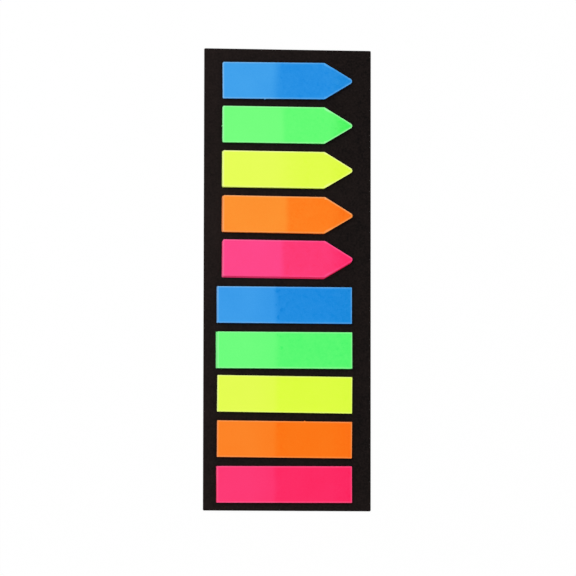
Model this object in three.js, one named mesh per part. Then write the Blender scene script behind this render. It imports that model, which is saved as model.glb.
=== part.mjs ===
// Sticky index tabs: a black backing card that carries five pads of arrow tabs and, below them, five pads of
// strip tabs. Each pad is a stack of thin coloured films, modelled as one solid.
// Millimetres, +Z up. The origin is the middle of the card's back face. +X runs along the tabs, the way the
// arrows point, and +Y runs up the card, from the last pad towards the first.
import * as THREE from "three";

// Films and pads
const FILM_THICKNESS = 0.06;
const FILMS_PER_PAD = 20;
const ROW_GAP = 2.85;

// Strip tab
const STRIP_LENGTH = 44.7;
const STRIP_WIDTH = 12;
const STRIP_CORNER_RADIUS = 0.15;

// Arrow tab: a straight body that ends in a point, whose two edges each lean by the half angle
const ARROW_BODY_LENGTH = 33.9;
const ARROW_WIDTH = 12.05;
const POINT_HALF_ANGLE = 31;
const TIP_RADIUS = 0.9;
const SHOULDER_RADIUS = 0.8;
const HEEL_RADIUS = 0.45;

// Backing card: its size is what the rows of pads need, plus these margins
const CARD_THICKNESS = 0.5;
const CARD_CORNER_RADIUS = 0.4;
const HEEL_MARGIN = 4.5;
const TIP_MARGIN = 6.45;
const TOP_MARGIN = 4.5;
const BOTTOM_MARGIN = 2.6;

const ARC_STEPS = 4;

// The pads from the top row down. No pad lies or stands quite true: shift is where its lowest film lies, beside
// its place in the row, turn is its angle in degrees, and lean is how far its top film lies from its lowest.
const PADS = [
  { name: "arrow_tabs_blue", cut: "arrow", dye: "blue", shift: [-0.03, 0], turn: 0.35, lean: [0, 0] },
  { name: "arrow_tabs_green", cut: "arrow", dye: "green", shift: [-0.06, 0.16], turn: -0.06, lean: [0.1, 0] },
  { name: "arrow_tabs_yellow", cut: "arrow", dye: "yellow", shift: [-0.14, 0.11], turn: -0.17, lean: [0.2, 0.1] },
  { name: "arrow_tabs_orange", cut: "arrow", dye: "orange", shift: [-0.15, 0.05], turn: -0.35, lean: [0.3, 0.1] },
  { name: "arrow_tabs_pink", cut: "arrow", dye: "pink", shift: [-0.1, -0.05], turn: -0.29, lean: [0.25, 0.5] },
  { name: "strip_tabs_blue", cut: "strip", dye: "blue", shift: [-0.18, -0.12], turn: 0.07, lean: [0.15, 0.05] },
  { name: "strip_tabs_green", cut: "strip", dye: "green", shift: [-0.4, -0.2], turn: 0.18, lean: [0.5, 0.05] },
  { name: "strip_tabs_yellow", cut: "strip", dye: "yellow", shift: [0.07, 0.11], turn: -0.42, lean: [0, 0] },
  { name: "strip_tabs_orange", cut: "strip", dye: "orange", shift: [0.02, 0.08], turn: -0.3, lean: [0, 0] },
  { name: "strip_tabs_pink", cut: "strip", dye: "pink", shift: [-0.17, 0.08], turn: 0.22, lean: [0.2, 0] },
];

const CARD_FINISH = { color: "#1f1b1a", roughness: 0.85, metalness: 0 };
const FILM_FINISH = { roughness: 0.4, metalness: 0 };
const DYES = { blue: "#2590e3", green: "#5ffa76", yellow: "#e2fe4c", orange: "#fe7c1c", pink: "#ff306b" };

const padHeight = FILMS_PER_PAD * FILM_THICKNESS;

// A convex outline through the corners, listed anticlockwise as { x, y, radius }. Each corner is rounded to its
// own radius, which is limited by half of the shorter side beside it.
function roundedOutline(corners) {
  const outline = new THREE.Shape();
  corners.forEach(({ x, y, radius }, i) => {
    const corner = new THREE.Vector2(x, y);
    const before = corners.at(i - 1);
    const after = corners[(i + 1) % corners.length];
    const toBefore = new THREE.Vector2(before.x, before.y).sub(corner);
    const toAfter = new THREE.Vector2(after.x, after.y).sub(corner);
    const halfAngle = toBefore.angleTo(toAfter) / 2;
    const room = Math.min(toBefore.length(), toAfter.length()) / 2;
    const limited = Math.min(radius, room * Math.tan(halfAngle));
    const inwards = toBefore.normalize().add(toAfter.normalize()).normalize();
    const centre = inwards.clone().multiplyScalar(limited / Math.sin(halfAngle)).add(corner);
    const halfSweep = Math.PI / 2 - halfAngle;
    const outwards = inwards.negate().angle();
    outline.absarc(centre.x, centre.y, limited, outwards - halfSweep, outwards + halfSweep, false);
  });
  return outline;
}

function rectangle(length, width, radius) {
  return roundedOutline([
    { x: -length / 2, y: -width / 2, radius },
    { x: length / 2, y: -width / 2, radius },
    { x: length / 2, y: width / 2, radius },
    { x: -length / 2, y: width / 2, radius },
  ]);
}

function arrow() {
  const side = ARROW_WIDTH / 2;
  const pointLength = side / Math.tan(THREE.MathUtils.degToRad(POINT_HALF_ANGLE));
  return roundedOutline([
    { x: 0, y: -side, radius: HEEL_RADIUS },
    { x: ARROW_BODY_LENGTH, y: -side, radius: SHOULDER_RADIUS },
    { x: ARROW_BODY_LENGTH + pointLength, y: 0, radius: TIP_RADIUS },
    { x: ARROW_BODY_LENGTH, y: side, radius: SHOULDER_RADIUS },
    { x: 0, y: side, radius: HEEL_RADIUS },
  ]);
}

// An outline raised to a solid that stands on z = 0, with its middle on the Z axis.
function raised(outline, height) {
  const solid = new THREE.ExtrudeGeometry(outline, {
    depth: height,
    bevelEnabled: false,
    curveSegments: ARC_STEPS,
  });
  solid.computeBoundingBox();
  const middle = solid.boundingBox.getCenter(new THREE.Vector3());
  return solid.translate(-middle.x, -middle.y, 0);
}

// Leans a pad's films over evenly, so that the top one lies [x, y] from the lowest, which stays in its place.
function leaned(solid, [x, y]) {
  const shear = new THREE.Matrix4().makeShear(0, 0, 0, 0, x / padHeight, y / padHeight);
  return solid.applyMatrix4(shear);
}

function sizeOf(solid) {
  return solid.boundingBox.getSize(new THREE.Vector3());
}

const cuts = {
  arrow: raised(arrow(), padHeight),
  strip: raised(rectangle(STRIP_LENGTH, STRIP_WIDTH, STRIP_CORNER_RADIUS), padHeight),
};
const cutSizes = { arrow: sizeOf(cuts.arrow), strip: sizeOf(cuts.strip) };

const longestTab = Math.max(cutSizes.arrow.x, cutSizes.strip.x);
const cardWidth = HEEL_MARGIN + longestTab + TIP_MARGIN;
const tipLine = cardWidth / 2 - TIP_MARGIN;

const allWidths = PADS.reduce((sum, { cut }) => sum + cutSizes[cut].y, 0);
const allGaps = (PADS.length - 1) * ROW_GAP;
const cardLength = TOP_MARGIN + allWidths + allGaps + BOTTOM_MARGIN;

function backingCard() {
  const card = new THREE.Mesh(
    raised(rectangle(cardWidth, cardLength, CARD_CORNER_RADIUS), CARD_THICKNESS),
    new THREE.MeshStandardMaterial(CARD_FINISH),
  );
  card.name = "backing_card";
  return card;
}

// One pad in its row: its right end is at the tip line, before its own shift and turn.
function padStack({ name, cut, dye, shift, turn, lean }, rowMiddle) {
  const stack = new THREE.Mesh(
    leaned(cuts[cut].clone(), lean),
    new THREE.MeshStandardMaterial({ color: DYES[dye], ...FILM_FINISH }),
  );
  stack.name = name;
  stack.position.set(tipLine - cutSizes[cut].x / 2 + shift[0], rowMiddle + shift[1], CARD_THICKNESS);
  stack.rotation.z = THREE.MathUtils.degToRad(turn);
  return stack;
}

const indexTabs = new THREE.Group();
indexTabs.add(backingCard());

let rowTop = cardLength / 2 - TOP_MARGIN;
for (const pad of PADS) {
  const rowWidth = cutSizes[pad.cut].y;
  indexTabs.add(padStack(pad, rowTop - rowWidth / 2));
  rowTop -= rowWidth + ROW_GAP;
}

export default indexTabs;
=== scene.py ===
"""Sticky index tabs: ten pads of thin coloured film on a black backing card, dressed around the fixed frame.

Everything is in metres. +X runs along the tabs, the way the arrows point. +Y runs up the card, and +Z out of
its front.
"""

import logging
import math
import random
from dataclasses import dataclass, field
from enum import Enum
from typing import Any

import bmesh
import bpy
from mathutils import Euler, Matrix, Vector


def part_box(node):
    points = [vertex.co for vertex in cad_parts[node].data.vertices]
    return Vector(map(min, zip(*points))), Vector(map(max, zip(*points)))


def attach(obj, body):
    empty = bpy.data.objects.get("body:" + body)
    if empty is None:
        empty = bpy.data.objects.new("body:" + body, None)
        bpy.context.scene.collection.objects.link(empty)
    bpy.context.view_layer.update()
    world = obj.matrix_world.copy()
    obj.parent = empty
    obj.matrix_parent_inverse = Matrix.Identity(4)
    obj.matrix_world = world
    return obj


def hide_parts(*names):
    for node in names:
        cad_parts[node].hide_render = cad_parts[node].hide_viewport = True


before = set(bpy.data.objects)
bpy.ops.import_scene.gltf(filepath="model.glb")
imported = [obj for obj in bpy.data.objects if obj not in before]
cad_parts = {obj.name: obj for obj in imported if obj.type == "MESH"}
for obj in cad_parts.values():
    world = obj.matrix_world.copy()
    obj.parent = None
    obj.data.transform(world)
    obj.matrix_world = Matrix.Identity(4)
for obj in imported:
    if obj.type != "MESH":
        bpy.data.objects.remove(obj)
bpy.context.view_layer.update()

MM = 0.001
CARD_NODE = "backing_card"

# What a film's mesh holds: a map of the tab's own length and width, how near a point is to the cut edge, and
# how much painted shade, with a random tone for each film, the film takes where it lies under others
TAB_MAP = "tab_map"
TAB_MAP_SPAN = 50 * MM
RIM = "rim"
FILM_TONE_AND_SHADE = "film_tone_and_shade"

# The light that the film's gloss adds to each channel, and the least that a channel keeps without it
FILM_VEIL = 0.006
FILM_LEAST = 0.0005

# How a screen's values, from 0 to 255, turn into light: evenly up to the knee, and by a power above it
SCREEN_WHITE = 255
SCREEN_KNEE = 0.04045
SCREEN_SLOPE = 12.92
SCREEN_OFFSET = 0.055
SCREEN_POWER = 2.4

# The middle of noise, of heights and of the map's width, which all run from 0 to 1
MIDDLE = 0.5
WHITE = (1.0, 1.0, 1.0, 1.0)

# Vertices of a CAD mesh nearer together than this are one, and faces that turn less are one flat face
MERGE_DISTANCE = 0.002 * MM
FLAT_TURN = math.radians(1)

# An edge that turns more than this is sharp
SHARP_TURN = math.radians(25)

# A vertex nearer to a cutting plane than this lies on it
CUT_TOLERANCE = 0.0001 * MM

# A face looks along a direction if its normal's share of that direction is above this
FACING = 0.9

Colour = tuple[float, float, float]

log = logging.getLogger("index_tabs")


def linear(red: float, green: float, blue: float) -> Colour:
    """Turns a colour as a screen shows it into the linear values that a shader takes.

    Args:
        red, green, blue: The screen's values, from 0 to 255.

    Returns:
        The three linear values, from 0 to 1.
    """
    shares = (value / SCREEN_WHITE for value in (red, green, blue))
    return tuple(
        share / SCREEN_SLOPE
        if share <= SCREEN_KNEE
        else ((share + SCREEN_OFFSET) / (1 + SCREEN_OFFSET)) ** SCREEN_POWER
        for share in shares
    )


def film_colour(red: float, green: float, blue: float) -> Colour:
    """Turns a film's colour on a screen into its base colour, without the veil that its gloss adds."""
    return tuple(max(value - FILM_VEIL, FILM_LEAST) for value in linear(red, green, blue))


class Cut(Enum):
    """The two forms that the films are cut to."""

    ARROW = "arrow"
    STRIP = "strip"


class Dye(Enum):
    """The five colours of film."""

    BLUE = "blue"
    GREEN = "green"
    YELLOW = "yellow"
    ORANGE = "orange"
    PINK = "pink"


class Value:
    """A number that changes over a surface. Arithmetic on it adds Math nodes to the graph it belongs to."""

    def __init__(self, graph: "Graph", socket: bpy.types.NodeSocket | None) -> None:
        """Keeps the graph and the output socket that gives the number, if the node has one."""
        self.graph = graph
        self.socket = socket

    def _with(self, operation: str, first: "Value | float", second: "Value | float") -> "Value":
        """Adds one Math node, which works on two values or numbers."""
        return self.graph.node("ShaderNodeMath", {"operation": operation}, {0: first, 1: second})

    def __add__(self, other: "Value | float") -> "Value":
        """Adds a value or number."""
        return self._with("ADD", self, other)

    def __sub__(self, other: "Value | float") -> "Value":
        """Takes a value or number away."""
        return self._with("SUBTRACT", self, other)

    def __rsub__(self, other: float) -> "Value":
        """Takes this value away from a number."""
        return self._with("SUBTRACT", other, self)

    def __mul__(self, other: "Value | float") -> "Value":
        """Multiplies by a value or number."""
        return self._with("MULTIPLY", self, other)

    __radd__ = __add__
    __rmul__ = __mul__


class Graph:
    """The nodes of one material or world, built from an empty tree."""

    def __init__(self, tree: bpy.types.NodeTree) -> None:
        """Empties the tree."""
        self.tree = tree
        tree.nodes.clear()

    @staticmethod
    def _socket(sockets: Any, key: int | str) -> bpy.types.NodeSocket:
        """Finds one socket of a node.

        Args:
            sockets: The node's inputs or outputs.
            key: The socket's place, identifier or name.

        Returns:
            The socket.
        """
        if isinstance(key, int):
            return sockets[key]
        return next((socket for socket in sockets if socket.identifier == key), None) or sockets[key]

    def node(
        self,
        kind: str,
        settings: dict[str, Any] | None = None,
        inputs: dict[int | str, Any] | None = None,
        result: int | str = 0,
    ) -> Value:
        """Adds a node of any kind.

        Args:
            kind: The node's type.
            settings: What is set on the node itself, before its inputs.
            inputs: The values or links of its input sockets.
            result: Which output is handed back.

        Returns:
            The chosen output.
        """
        made = self.tree.nodes.new(kind)
        for name, setting in (settings or {}).items():
            setattr(made, name, setting)
        for key, given in (inputs or {}).items():
            socket = self._socket(made.inputs, key)
            if isinstance(given, Value):
                self.tree.links.new(given.socket, socket)
            else:
                socket.default_value = given
        return Value(self, self._socket(made.outputs, result) if made.outputs else None)

    def noise(self, where: Value, size: float, detail: float = 2.0, roughness: float = 0.5) -> Value:
        """Adds noise from about -0.5 to 0.5. Its patches are size wide, in the coordinates' own unit."""
        inputs = {"Vector": where, "Scale": 1 / size, "Detail": detail, "Roughness": roughness}
        return self.node("ShaderNodeTexNoise", {"noise_dimensions": "3D"}, inputs) - MIDDLE

    def ramp(self, value: Value, start: float, end: float, low: float = 0.0, high: float = 1.0) -> Value:
        """Adds a smooth step from low, where the value is at start, to high, where it is at end."""
        inputs = {"Value": value, "From Min": start, "From Max": end, "To Min": low, "To Max": high}
        return self.node("ShaderNodeMapRange", {"interpolation_type": "SMOOTHSTEP"}, inputs)

    def mix(self, share: Value | float, first: Value | Colour, second: Value | Colour) -> Value:
        """Mixes two colours.

        Args:
            share: How much of the second there is, which may pass 0 and 1 a little.
            first, second: The two colours.

        Returns:
            The mixed colour.
        """
        first, second = (
            (*colour, 1.0) if isinstance(colour, tuple) else colour for colour in (first, second)
        )
        settings = {"data_type": "RGBA", "clamp_factor": False, "clamp_result": True}
        inputs = {"Factor_Float": share, "A_Color": first, "B_Color": second}
        return self.node("ShaderNodeMix", settings, inputs, "Result_Color")

    def bump(self, height: Value, relief: float) -> Value:
        """Turns a height from 0 to 1 into a normal, relief being the height's real size."""
        inputs = {"Strength": 1.0, "Distance": relief, "Height": height}
        return self.node("ShaderNodeBump", None, inputs, "Normal")

    def attribute(self, name: str) -> Value:
        """Reads a number that the mesh holds."""
        return self.node("ShaderNodeAttribute", {"attribute_name": name}, None, "Fac")

    def surface(self, shader: Value) -> None:
        """Makes a shader the material's surface."""
        self.node("ShaderNodeOutputMaterial", None, {"Surface": shader})


def new_material(name: str) -> tuple[bpy.types.Material, Graph]:
    """Makes an empty material.

    Args:
        name: The material's name.

    Returns:
        The material and its graph.
    """
    material = bpy.data.materials.new(name)
    material.use_nodes = True
    return material, Graph(material.node_tree)


@dataclass(frozen=True)
class CardFinish:
    """Matt black card: a warm near-black with a fine paper grain, faint patches and slow changes of tone.

    A painted light makes it a little paler towards the heels of the tabs, the side from which the key lamp
    shines.
    """

    pale: Colour = linear(28, 21, 19.6)
    deep: Colour = linear(17, 11.8, 10.8)
    fibre: Colour = linear(44, 36, 34)
    grain_size: float = 0.6 * MM
    patch_size: float = 2.8 * MM
    cloud_size: float = 30 * MM
    grain_share: float = 1.6
    patch_share: float = 1.6
    cloud_share: float = 0.9
    # Painted light: how fast the card pales towards the heels, on the key lamp's side
    painted_light_slope: float = -10.0
    relief: float = 0.012 * MM
    roughness: float = 0.76
    grain_roughness: float = 0.25
    patch_roughness: float = 0.1
    gloss: float = 0.06

    def material(self) -> bpy.types.Material:
        """Builds the material.

        Returns:
            The finished material.
        """
        material, graph = new_material("black_card")
        where = graph.node("ShaderNodeTexCoord", None, None, "Object")
        grain = graph.noise(where, self.grain_size, detail=3.0, roughness=0.65)
        patches = graph.noise(where, self.patch_size, detail=3.0)
        clouds = graph.noise(where, self.cloud_size, detail=1.0)
        across = graph.node("ShaderNodeSeparateXYZ", None, {0: where}, "X")
        # painted_light_slope paints light onto the card: paler towards the heels, where the key lamp stands
        tone = MIDDLE + patches * self.patch_share + clouds * self.cloud_share + across * self.painted_light_slope
        base = graph.mix(tone, self.deep, self.pale)
        inputs = {
            "Base Color": graph.mix(grain * self.grain_share, base, self.fibre),
            "Roughness": self.roughness + grain * self.grain_roughness + patches * self.patch_roughness,
            "Specular IOR Level": self.gloss,
            "Normal": graph.bump(grain + MIDDLE, self.relief),
        }
        graph.surface(graph.node("ShaderNodeBsdfPrincipled", None, inputs))
        return material


@dataclass(frozen=True)
class Tint:
    """One pad's colours: where its films lie loose, where glue joins them and at their tip."""

    loose: Colour
    glued: Colour
    tip: Colour


@dataclass(frozen=True)
class RimHighlights:
    """How strong the painted highlight is that the cut edges carry, along the tab's lower and upper side and
    at its heel.

    Over glue they keep only a share of that.
    """

    lower: float = 0.35
    upper: float = 0.45
    heel: float = 0.6
    over_glue: float = 0.8


@dataclass(frozen=True)
class GlueHabit:
    """How the glue lies under one form of tab.

    The share of its depth that lead gives comes in slowly before the glue line. The gathers say how much
    stronger its specks are along that line and at the tab's end.
    """

    lead: float
    line_gather: float
    end_gather: float


@dataclass(frozen=True)
class FilmFinish:
    """Fluorescent film. It is deeper where glue joins it to the film below, paler where air lies between.

    The glued part is slightly mottled, with small specks, and deepest at the tip. The glue thins out
    towards the cut edges, which carry a painted highlight: a soft pale line.
    """

    name: str
    tint: Tint
    rim_highlight_colour: Colour
    rims: RimHighlights
    length: float
    glue_line: float
    glue_softness: float
    habit: GlueHabit
    mottle_share: float
    lead_length: float = 10 * MM
    line_waver: float = 1 * MM
    tip_start: float = 9 * MM
    tip_end: float = 1 * MM
    mottle_size: float = 1.3 * MM
    speck_size: float = 1.2 * MM
    speck_start: float = 0.06
    speck_end: float = 0.2
    speck_share: float = 0.3
    streak_size: float = 9 * MM
    streak_share: float = 0.4
    grain_size: float = 0.4 * MM
    grain_share: float = 0.6
    sheet_tone_and_shade_share: float = 0.35
    gather_length: float = 3.5 * MM
    margin_share: float = 0.7
    # How the painted highlight on the rim starts, reaches round the heel, turns from the lower to the upper
    # side and wavers
    rim_start: float = 0.25
    heel_reach: float = 1.2 * MM
    rim_turn: float = 0.02
    rim_streak: float = 0.4
    rim_grain: float = 0.4
    relief: float = 0.004 * MM
    mottle_relief: float = 0.5
    grain_relief: float = 0.4
    roughness: float = 0.36
    mottle_roughness: float = 0.12
    grain_roughness: float = 0.08
    rim_roughness: float = 0.2
    gloss: float = 0.14

    def material(self) -> bpy.types.Material:
        """Builds the material.

        Returns:
            The finished material.
        """
        material, graph = new_material(self.name)
        where = graph.node("ShaderNodeTexCoord", None, None, "Object")
        on_tab = graph.node("ShaderNodeUVMap", {"uv_map": TAB_MAP})
        speck = graph.ramp(graph.noise(where, self.speck_size), self.speck_start, self.speck_end)
        mottle = graph.noise(where, self.mottle_size, detail=3.0, roughness=0.6)
        streak = graph.noise(where, self.streak_size, detail=1.0)
        grain = graph.noise(where, self.grain_size, detail=1.0)
        along = graph.node("ShaderNodeSeparateXYZ", None, {0: on_tab}, "X") * TAB_MAP_SPAN
        across = graph.node("ShaderNodeSeparateXYZ", None, {0: on_tab}, "Y") - MIDDLE
        rim = graph.attribute(RIM)

        line = along + streak * self.line_waver
        half = self.glue_softness / 2
        glued = graph.ramp(line, self.glue_line - half, self.glue_line + half)
        lead = graph.ramp(line, self.glue_line - self.lead_length, self.glue_line)
        past_line = self.glue_line + self.gather_length
        at_line = graph.ramp(line, past_line, self.glue_line, 0.0, self.habit.line_gather)
        at_end = graph.ramp(along, self.length - self.gather_length, self.length, 0.0, self.habit.end_gather)
        mottled = glued * self.mottle_share * (mottle + speck * (self.speck_share + at_line + at_end))
        tone = glued * (1 - self.habit.lead) + lead * self.habit.lead + mottled
        tone = tone + streak * self.streak_share + grain * self.grain_share
        # Films under the top one take painted shade, with a random tone for each film, from the
        # FILM_TONE_AND_SHADE attribute
        tone = tone + graph.attribute(FILM_TONE_AND_SHADE) * self.sheet_tone_and_shade_share - glued * rim * self.margin_share
        near_tip = graph.ramp(along, self.length - self.tip_start, self.length - self.tip_end)
        deep = graph.mix(near_tip, self.tint.glued, self.tint.tip)
        colour = graph.mix(tone, self.tint.loose, deep)

        # Painted highlight: a soft pale line in rim_highlight_colour along the cut edges, as strong as the
        # rims say on each side and at the heel, keeping over_glue of that over glue
        sides = graph.ramp(across, -self.rim_turn, self.rim_turn, self.rims.lower, self.rims.upper)
        at_heel = graph.ramp(along, self.heel_reach, 0.0)
        lit = (sides + at_heel * (self.rims.heel - sides)) * (1 - glued * (1 - self.rims.over_glue))
        lit = lit + streak * self.rim_streak + grain * self.rim_grain
        pale = graph.ramp(rim, self.rim_start, 1.0) * lit
        uneven = mottle * glued
        rough = uneven * self.mottle_roughness + grain * self.grain_roughness + rim * self.rim_roughness
        height = MIDDLE + uneven * self.mottle_relief + grain * self.grain_relief
        inputs = {
            "Base Color": graph.mix(pale, colour, self.rim_highlight_colour),
            "Roughness": self.roughness + rough,
            "Specular IOR Level": self.gloss,
            "Normal": graph.bump(height, self.relief),
        }
        graph.surface(graph.node("ShaderNodeBsdfPrincipled", None, inputs))
        return material


# The colour of the painted highlight along each dye's cut edges
RIM_HIGHLIGHT_COLOURS = {
    Dye.BLUE: linear(158, 208, 238),
    Dye.GREEN: linear(174, 252, 184),
    Dye.YELLOW: linear(250, 255, 180),
    Dye.ORANGE: linear(252, 188, 132),
    Dye.PINK: linear(248, 124, 170),
}
TINTS = {
    (Cut.ARROW, Dye.BLUE): Tint(
        loose=film_colour(64, 161, 236), glued=film_colour(38, 144, 228), tip=film_colour(28, 138, 220)
    ),
    (Cut.ARROW, Dye.GREEN): Tint(
        loose=film_colour(116, 254, 126), glued=film_colour(101, 252, 117), tip=film_colour(82, 246, 101)
    ),
    (Cut.ARROW, Dye.YELLOW): Tint(
        loose=film_colour(231, 254, 87), glued=film_colour(227, 254, 76), tip=film_colour(222, 252, 64)
    ),
    (Cut.ARROW, Dye.ORANGE): Tint(
        loose=film_colour(254, 146, 48), glued=film_colour(255, 128, 31), tip=film_colour(252, 117, 22)
    ),
    (Cut.ARROW, Dye.PINK): Tint(
        loose=film_colour(255, 71, 138), glued=film_colour(254, 59, 119), tip=film_colour(254, 42, 104)
    ),
    (Cut.STRIP, Dye.BLUE): Tint(
        loose=film_colour(60, 157, 235), glued=film_colour(33, 141, 225), tip=film_colour(27, 138, 221)
    ),
    (Cut.STRIP, Dye.GREEN): Tint(
        loose=film_colour(110, 254, 126), glued=film_colour(90, 250, 115), tip=film_colour(87, 249, 113)
    ),
    (Cut.STRIP, Dye.YELLOW): Tint(
        loose=film_colour(230, 254, 82), glued=film_colour(224, 255, 66), tip=film_colour(222, 254, 65)
    ),
    (Cut.STRIP, Dye.ORANGE): Tint(
        loose=film_colour(254, 132, 38), glued=film_colour(254, 119, 20), tip=film_colour(254, 116, 18)
    ),
    (Cut.STRIP, Dye.PINK): Tint(
        loose=film_colour(255, 57, 117), glued=film_colour(255, 43, 101), tip=film_colour(254, 38, 97)
    ),
}
GLUE_HABITS = {
    Cut.ARROW: GlueHabit(lead=0.08, line_gather=0.2, end_gather=0.0),
    Cut.STRIP: GlueHabit(lead=0.28, line_gather=1.1, end_gather=0.7),
}


def base_face(mesh: bmesh.types.BMesh) -> bmesh.types.BMFace:
    """Finds the lowest face of a flat plate, which points down."""
    return min(mesh.faces, key=lambda face: face.calc_center_median().z + face.normal.z)


def plate_of(node: str) -> bmesh.types.BMesh:
    """Copies a CAD node's mesh, with its doubles merged and its flat faces whole.

    Args:
        node: The CAD node's name.

    Returns:
        The copy, which the caller frees.
    """
    mesh = bmesh.new()
    mesh.from_mesh(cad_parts[node].data)
    bmesh.ops.remove_doubles(mesh, verts=mesh.verts, dist=MERGE_DISTANCE)
    bmesh.ops.dissolve_limit(
        mesh, angle_limit=FLAT_TURN, use_dissolve_boundaries=False, verts=mesh.verts, edges=mesh.edges
    )
    mesh.normal_update()
    return mesh


def cut_along(mesh: bmesh.types.BMesh, point: Vector, normal: Vector) -> None:
    """Cuts a whole mesh along a plane and keeps both sides."""
    whole = [*mesh.verts, *mesh.edges, *mesh.faces]
    bmesh.ops.bisect_plane(mesh, geom=whole, dist=CUT_TOLERANCE, plane_co=point, plane_no=normal)


def verts_in(geometry: list[Any]) -> list[bmesh.types.BMVert]:
    """Picks the vertices out of what an operator made."""
    return [part for part in geometry if isinstance(part, bmesh.types.BMVert)]


def finished_piece(
    name: str, mesh: bmesh.types.BMesh, material: bpy.types.Material, node: str
) -> bpy.types.Object:
    """Turns a bmesh into a piece that rides on the root body.

    Args:
        name: The piece's name.
        mesh: Its mesh, which is freed.
        material: Its only material.
        node: The CAD node that it stands for.

    Returns:
        The piece.
    """
    data = bpy.data.meshes.new(name)
    mesh.to_mesh(data)
    mesh.free()
    data.materials.append(material)
    data.shade_smooth()
    data.set_sharp_from_angle(angle=SHARP_TURN)
    piece = bpy.data.objects.new(name, data)
    bpy.context.scene.collection.objects.link(piece)
    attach(piece, "root")
    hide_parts(node)
    log.info("%s: %d faces", name, len(data.polygons))
    return piece


@dataclass
class BackingCard:
    """The card that carries the pads: a thin plate with slightly rounded edges."""

    finish: CardFinish = field(default_factory=CardFinish)
    edge_round: float = 0.07 * MM
    edge_steps: int = 3

    def build(self) -> bpy.types.Object:
        """Makes the card from its CAD plate and rounds every edge.

        Returns:
            The finished piece.
        """
        mesh = plate_of(CARD_NODE)
        rims = [
            edge for edge in mesh.edges if any(abs(face.normal.z) > FACING for face in edge.link_faces)
        ]
        bmesh.ops.bevel(
            mesh,
            geom=rims,
            offset=self.edge_round,
            offset_type="OFFSET",
            segments=self.edge_steps,
            profile=0.5,
            affect="EDGES",
            clamp_overlap=True,
            material=-1,
        )
        return finished_piece("backing_card_sheet", mesh, self.finish.material(), CARD_NODE)


@dataclass(frozen=True)
class Nib:
    """A nib of film left standing where a bridge held the tab in its sheet. It points out of the tab's side.

    Its end is narrower than its root by the taper.
    """

    place: tuple[float, float]
    out: tuple[float, float]
    reach: float = 0.24 * MM
    width: float = 0.4 * MM
    taper: float = 0.6


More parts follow.
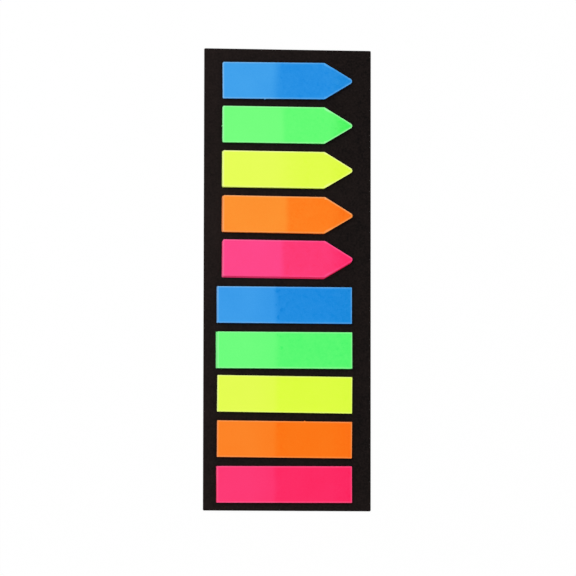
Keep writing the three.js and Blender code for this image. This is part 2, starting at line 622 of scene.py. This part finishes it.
@dataclass
class TabPad:
    """One pad: a stack of films, glued along the end that points right and loose at the heel.

    The films lie a glue_gap apart where they are glued, and an air_gap apart where they are loose. A film
    under the top one keeps buried_rim of its rim and of the rim's painted highlight, and takes painted
    shade, with a random tone for each film, by an amount drawn from buried_tones_and_shade.
    """

    node: str
    cut: Cut
    dye: Dye
    glue_line: float
    nibs: tuple[Nib, ...] = ()
    rims: RimHighlights = RimHighlights()
    glue_softness: float = 2.4 * MM
    mottle: float = 1.0
    films: int = 20
    glue_gap: float = 0.004 * MM
    air_gap: float = 0.012 * MM
    glue_ramp: float = 0.8 * MM
    rim_width: float = 0.75 * MM
    straight_side: float = 2 * MM
    burr: float = 0.005 * MM
    stations: int = 14
    slip: float = 0.025 * MM
    slip_turn: float = math.radians(0.03)
    heel_lift: float = 0.03 * MM
    buried_rim: float = 0.2
    buried_tones_and_shade: tuple[float, float] = (0.5, 1.8)

    def _lie(self, plate: bmesh.types.BMesh) -> tuple[Matrix, Vector]:
        """Works out where the pad lies from its CAD plate.

        Args:
            plate: The plate.

        Returns:
            The matrix that takes the tab's own frame, whose origin is the middle of its heel, to the pad's
            place, and how far the top film lies from the lowest.
        """
        base = base_face(plate)
        top = max(plate.faces, key=lambda face: face.calc_center_median().z + face.normal.z)
        lean = top.calc_center_median() - base.calc_center_median()
        longest = max(base.edges, key=lambda edge: edge.calc_length())
        first, second = sorted((vert.co for vert in longest.verts), key=lambda place: place.x)
        along = (second - first).normalized()
        turn = Matrix.Rotation(math.atan2(along.y, along.x), 4, "Z")
        turned_back = [turn.inverted() @ vert.co for vert in base.verts]
        heel = min(place.x for place in turned_back)
        across = [place.y for place in turned_back]
        middle = Vector((heel, (min(across) + max(across)) / 2, base.calc_center_median().z))
        return turn @ Matrix.Translation(middle), turn.to_3x3().inverted() @ Vector((lean.x, lean.y, 0))

    def glue_edge(self) -> tuple[float, float]:
        """The two places along the tab between which the film comes down onto its glue."""
        return self.glue_line, self.glue_line + self.glue_ramp

    @staticmethod
    def _pull_nib(film: bmesh.types.BMesh, nib: Nib) -> None:
        """Pulls a nib out of the film's side.

        Args:
            film: The film, in the tab's own frame.
            nib: Where the nib stands, and its size.
        """
        place = Vector((*nib.place, 0))
        out = Vector((*nib.out, 0))
        beside = Vector((-out.y, out.x, 0))
        for end in (-nib.width / 2, nib.width / 2):
            cut_along(film, place + beside * end, beside)
        film.normal_update()
        sides = [face for face in film.faces if face.normal.dot(out) > FACING]
        root = min(sides, key=lambda face: (face.calc_center_median() - place).length)
        pulled = bmesh.ops.extrude_face_region(film, geom=[root])["geom"]
        bmesh.ops.delete(film, geom=[root], context="FACES_ONLY")
        ends = verts_in(pulled)
        middle = sum((vert.co for vert in ends), Vector()) / len(ends)
        about = Matrix.Translation(-middle)
        narrowed = [1 - (1 - nib.taper) * abs(share) for share in beside]
        bmesh.ops.scale(film, vec=narrowed, space=about, verts=ends)
        bmesh.ops.translate(film, vec=out * nib.reach, verts=ends)

    def _rim_planes(self, outline: bmesh.types.BMFace) -> list[tuple[Vector, Vector]]:
        """Places a plane inside each straight side of the film's outline, a rim's width from it.

        Args:
            outline: The film's underside.

        Returns:
            A point and the inward normal of each plane.
        """
        inside = outline.calc_center_median()
        planes = []
        for edge in outline.edges:
            if edge.calc_length() < self.straight_side:
                continue
            first, second = (vert.co for vert in edge.verts)
            along = (second - first).normalized()
            inwards = Vector((-along.y, along.x, 0))
            if inwards.dot(inside - first) < 0:
                inwards.negate()
            planes.append((first + inwards * self.rim_width, inwards))
        return planes

    @staticmethod
    def _split_corners(film: bmesh.types.BMesh, inner: set[bmesh.types.BMVert]) -> None:
        """Splits each face that turns a corner of the rim, from the corner to the rim's inner line.

        Args:
            film: The film.
            inner: The vertices on the rim's inner line and inside it.
        """
        pairs = []
        for face in film.faces:
            within = [place for place, vert in enumerate(face.verts) if vert in inner]
            if len(within) == 1 and len(face.verts) > 3:
                opposite = (within[0] + len(face.verts) // 2) % len(face.verts)
                pairs.append([face.verts[within[0]], face.verts[opposite]])
        for pair in pairs:
            bmesh.ops.connect_verts(film, verts=pair)

    def _film(self, plate: bmesh.types.BMesh, lie: Matrix, pitch: float) -> bpy.types.Mesh:
        """Makes one film in the tab's own frame, its underside at zero.

        Args:
            plate: The CAD plate, whose lowest face is the film's outline. It is used up.
            lie: The matrix from the tab's frame to the pad's place.
            pitch: The height from one film to the next.

        Returns:
            The film's mesh, with its map and its rim, which is 1 along the upper edge and fades inwards and
            down.
        """
        rim = plate.verts.layers.float.new(RIM)
        plate.verts.layers.float.new(FILM_TONE_AND_SHADE)
        tab_map = plate.loops.layers.uv.new(TAB_MAP)
        outline = base_face(plate)
        bmesh.ops.delete(plate, geom=[face for face in plate.faces if face is not outline], context="FACES")
        bmesh.ops.transform(plate, matrix=lie.inverted(), verts=plate.verts)
        rim_planes = self._rim_planes(outline)
        raised = bmesh.ops.extrude_face_region(plate, geom=[outline], use_keep_orig=True)["geom"]
        bmesh.ops.translate(plate, vec=(0, 0, pitch - self.glue_gap), verts=verts_in(raised))
        bmesh.ops.recalc_face_normals(plate, faces=plate.faces)
        length = max(vert.co.x for vert in plate.verts)
        places = [length * step / self.stations for step in range(1, self.stations)]
        cuts = [(Vector((place, 0, 0)), Vector((1, 0, 0))) for place in (*places, *self.glue_edge())]
        for point, normal in cuts + rim_planes:
            cut_along(plate, point, normal)
        inner = {
            vert
            for vert in plate.verts
            if all((vert.co - point).dot(inwards) > -CUT_TOLERANCE for point, inwards in rim_planes)
        }
        self._split_corners(plate, inner)
        for vert in plate.verts:
            upper = vert.co.z > pitch / 2
            vert[rim] = float(upper and vert not in inner)
            if upper and vert in inner:
                vert.co.z -= self.burr
            elif not upper and vert.co.x < sum(self.glue_edge()) / 2:
                vert.co.z += self.air_gap - self.glue_gap
        for nib in self.nibs:
            self._pull_nib(plate, nib)
        for face in plate.faces:
            for loop in face.loops:
                along, aside, _ = loop.vert.co
                loop[tab_map].uv = (along / TAB_MAP_SPAN, aside / TAB_MAP_SPAN + MIDDLE)
        film = bpy.data.meshes.new(f"{self.node}_film")
        plate.to_mesh(film)
        plate.free()
        return film

    def _stack(self, film: bpy.types.Mesh, lean: Vector, pitch: float) -> bmesh.types.BMesh:
        """Stacks the films, each laid a little out of true, apart from the lowest and the top one.

        Args:
            film: One film.
            lean: How far the top film lies from the lowest, in the tab's frame.
            pitch: The height from one film to the next.

        Returns:
            The stack in the tab's frame.
        """
        chance = random.Random(self.node)
        stack = bmesh.new()
        for number in range(self.films):
            before = len(stack.verts)
            stack.from_mesh(film)
            stack.verts.ensure_lookup_table()
            laid = stack.verts[before:]
            at_heel = {vert for vert in laid if vert.co.x < self.rim_width / 2}
            share = number / (self.films - 1)
            moves = 0.0 if number in (0, self.films - 1) else 1.0
            slip = Vector([moves * chance.uniform(-self.slip, self.slip) for _ in range(2)] + [0.0])
            turn = Matrix.Rotation(moves * chance.uniform(-self.slip_turn, self.slip_turn), 4, "Z")
            place = Matrix.Translation(lean * share + slip + Vector((0, 0, number * pitch)))
            bmesh.ops.transform(stack, matrix=place @ turn, verts=laid)
            # A buried film takes painted shade, with a random tone for each film, and away from the heel
            # keeps only buried_rim of its rim's painted highlight
            buried = number < self.films - 1
            film_tone_and_shade = chance.uniform(*self.buried_tones_and_shade) if buried else 0.0
            tone = stack.verts.layers.float[FILM_TONE_AND_SHADE]
            rim = stack.verts.layers.float[RIM]
            for vert in laid:
                vert[tone] = film_tone_and_shade
                vert[rim] *= self.buried_rim if buried and vert not in at_heel else 1.0
                free = max(0.0, 1 - max(0.0, vert.co.x) / self.glue_line)
                vert.co.z += self.heel_lift * share * free**2
        return stack

    def build(self) -> bpy.types.Object:
        """Makes the pad from its CAD plate.

        Returns:
            The finished piece.
        """
        plate = plate_of(self.node)
        low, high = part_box(self.node)
        pitch = (high.z - low.z) / self.films
        lie, lean = self._lie(plate)
        film = self._film(plate, lie, pitch)
        stack = self._stack(film, lean, pitch)
        bmesh.ops.transform(stack, matrix=lie, verts=stack.verts)
        finish = FilmFinish(
            name=f"{self.node}_film",
            tint=TINTS[self.cut, self.dye],
            rim_highlight_colour=RIM_HIGHLIGHT_COLOURS[self.dye],
            rims=self.rims,
            length=max(vert.co.x for vert in film.vertices),
            glue_line=self.glue_line,
            glue_softness=self.glue_softness,
            habit=GLUE_HABITS[self.cut],
            mottle_share=self.mottle,
        )
        return finished_piece(f"{self.node}_stack", stack, finish.material(), self.node)


@dataclass
class Studio:
    """The floor, the lamps, the white surroundings and the camera."""

    floor_size: float = 8.0
    floor_colour: Colour = (0.98, 0.98, 0.98)
    floor_glow: float = 0.93
    world_strength: float = 0.485
    lamp_size: float = 1.2
    key_power: float = 21.3
    fill_power: float = 8.7
    key_place: tuple[float, float, float] = (-1.0, 0.9, 1.5)
    fill_place: tuple[float, float, float] = (1.2, -0.6, 1.4)
    lens: float = 300.0
    sensor: float = 36.0
    distance: float = 1.58692
    aim_off: tuple[float, float] = (-0.1986 * MM, 2.8416 * MM)
    tilt_x: float = -0.0780534
    tilt_y: float = 0.119781
    roll: float = -0.0109212

    @staticmethod
    def _seen(graph: Graph) -> Value:
        """Tells the rays that see a surface from those that only carry light.

        Args:
            graph: The graph that asks.

        Returns:
            A value of 1 for rays from the camera, from gloss or through clear material, and 0 for others.
        """
        camera, glossy, through = (
            graph.node("ShaderNodeLightPath", None, None, f"Is {kind} Ray")
            for kind in ("Camera", "Glossy", "Transmission")
        )
        clamped = {"operation": "ADD", "use_clamp": True}
        return graph.node("ShaderNodeMath", clamped, {0: camera + glossy, 1: through})

    def floor(self) -> None:
        """Lays a wide pale floor under the card, which looks white and keeps the card's shadow."""
        mesh = bmesh.new()
        bmesh.ops.create_grid(mesh, x_segments=1, y_segments=1, size=self.floor_size / 2)
        data = bpy.data.meshes.new("floor")
        mesh.to_mesh(data)
        mesh.free()
        material, graph = new_material("floor")
        pale = graph.node("ShaderNodeBsdfDiffuse", None, {"Color": (*self.floor_colour, 1.0)})
        white = graph.node("ShaderNodeEmission", None, {"Color": WHITE, "Strength": 1.0})
        share = self._seen(graph) * self.floor_glow
        graph.surface(graph.node("ShaderNodeMixShader", None, {"Fac": share, 1: pale, 2: white}))
        data.materials.append(material)
        floor = bpy.data.objects.new("floor", data)
        bpy.context.scene.collection.objects.link(floor)

    def world(self) -> None:
        """Surrounds the object with soft even light, which looks white where it shows."""
        world = bpy.data.worlds.new("surroundings")
        world.use_nodes = True
        bpy.context.scene.world = world
        graph = Graph(world.node_tree)
        soft = graph.node("ShaderNodeBackground", None, {"Color": WHITE, "Strength": self.world_strength})
        white = graph.node("ShaderNodeBackground", None, {"Color": WHITE, "Strength": 1.0})
        mixed = graph.node("ShaderNodeMixShader", None, {"Fac": self._seen(graph), 1: soft, 2: white})
        graph.node("ShaderNodeOutputWorld", None, {"Surface": mixed})

    def lamp(self, name: str, power: float, place: tuple[float, float, float]) -> None:
        """Hangs a square soft lamp that points at the card.

        Args:
            name: The lamp's name.
            power: Its power in watts.
            place: Where it hangs.
        """
        light = bpy.data.lights.new(name, "AREA")
        light.energy = power
        light.size = self.lamp_size
        lamp = bpy.data.objects.new(name, light)
        lamp.location = place
        lamp.rotation_euler = Vector(place).to_track_quat("Z", "Y").to_euler()
        bpy.context.scene.collection.objects.link(lamp)

    def camera(self) -> None:
        """Stands the camera where the photograph was taken from, far off and nearly straight above."""
        data = bpy.data.cameras.new("camera")
        data.lens = self.lens
        data.sensor_width = self.sensor
        data.clip_end = self.floor_size
        camera = bpy.data.objects.new("camera", data)
        turn = Euler((self.tilt_x, self.tilt_y, self.roll)).to_matrix().inverted()
        offset = Vector((*self.aim_off, -self.distance))
        card_face = Vector((0, 0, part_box(CARD_NODE)[1].z))
        camera.matrix_world = Matrix.Translation(card_face - turn @ offset) @ turn.to_4x4()
        bpy.context.scene.collection.objects.link(camera)
        bpy.context.scene.camera = camera

    def build(self) -> None:
        """Sets up everything around the object."""
        bpy.context.scene.view_settings.view_transform = "Standard"
        self.floor()
        self.world()
        self.lamp("key_lamp", self.key_power, self.key_place)
        self.lamp("fill_lamp", self.fill_power, self.fill_place)
        self.camera()
        log.info("studio: floor, surroundings, lamps and camera")


PADS = (
    TabPad(
        "arrow_tabs_blue",
        Cut.ARROW,
        Dye.BLUE,
        glue_line=17.9 * MM,
        glue_softness=4.5 * MM,
        mottle=0.7,
        rims=RimHighlights(lower=0.35, upper=0.38, heel=0.6, over_glue=0.5),
        nibs=(Nib(place=(14.0 * MM, -6.0 * MM), out=(0, -1)),),
    ),
    TabPad(
        "arrow_tabs_green",
        Cut.ARROW,
        Dye.GREEN,
        glue_line=20.3 * MM,
        mottle=0.85,
        rims=RimHighlights(lower=0.55, upper=0.6, heel=0.85, over_glue=1.0),
        nibs=(Nib(place=(0, -0.6 * MM), out=(-1, 0)),),
    ),
    TabPad(
        "arrow_tabs_yellow",
        Cut.ARROW,
        Dye.YELLOW,
        glue_line=21.5 * MM,
        glue_softness=11 * MM,
        mottle=1.0,
        rims=RimHighlights(lower=0.42, upper=0.75, heel=0.65, over_glue=0.75),
    ),
    TabPad(
        "arrow_tabs_orange",
        Cut.ARROW,
        Dye.ORANGE,
        glue_line=21.3 * MM,
        mottle=0.55,
        rims=RimHighlights(lower=0.32, upper=0.58, heel=0.48),
    ),
    TabPad(
        "arrow_tabs_pink",
        Cut.ARROW,
        Dye.PINK,
        glue_line=19.8 * MM,
        mottle=0.65,
        rims=RimHighlights(lower=0.06, upper=0.42, heel=0.55, over_glue=0.6),
    ),
    TabPad(
        "strip_tabs_blue",
        Cut.STRIP,
        Dye.BLUE,
        glue_line=19.4 * MM,
        mottle=0.62,
        rims=RimHighlights(lower=0.32, upper=0.45, heel=0.48, over_glue=0.45),
    ),
    TabPad(
        "strip_tabs_green",
        Cut.STRIP,
        Dye.GREEN,
        glue_line=19.9 * MM,
        glue_softness=3.4 * MM,
        mottle=0.85,
        rims=RimHighlights(lower=0.45, upper=0.45, heel=0.5, over_glue=1.0),
    ),
    TabPad("strip_tabs_yellow", Cut.STRIP, Dye.YELLOW, glue_line=19.5 * MM, mottle=0.38),
    TabPad(
        "strip_tabs_orange",
        Cut.STRIP,
        Dye.ORANGE,
        glue_line=19.4 * MM,
        mottle=0.35,
        rims=RimHighlights(lower=0.22, upper=0.3, heel=0.4),
        nibs=(Nib(place=(29.0 * MM, 6.0 * MM), out=(0, 1)),),
    ),
    TabPad(
        "strip_tabs_pink",
        Cut.STRIP,
        Dye.PINK,
        glue_line=19.2 * MM,
        mottle=0.3,
        rims=RimHighlights(lower=0.35, upper=0.33, heel=0.3, over_glue=0.7),
    ),
)


def main() -> None:
    """Builds the card, the pads and the studio, in that order."""
    logging.basicConfig(level=logging.INFO, format="%(name)s: %(message)s")
    BackingCard().build()
    for pad in PADS:
        pad.build()
    Studio().build()


if __name__ == "__main__":
    main()
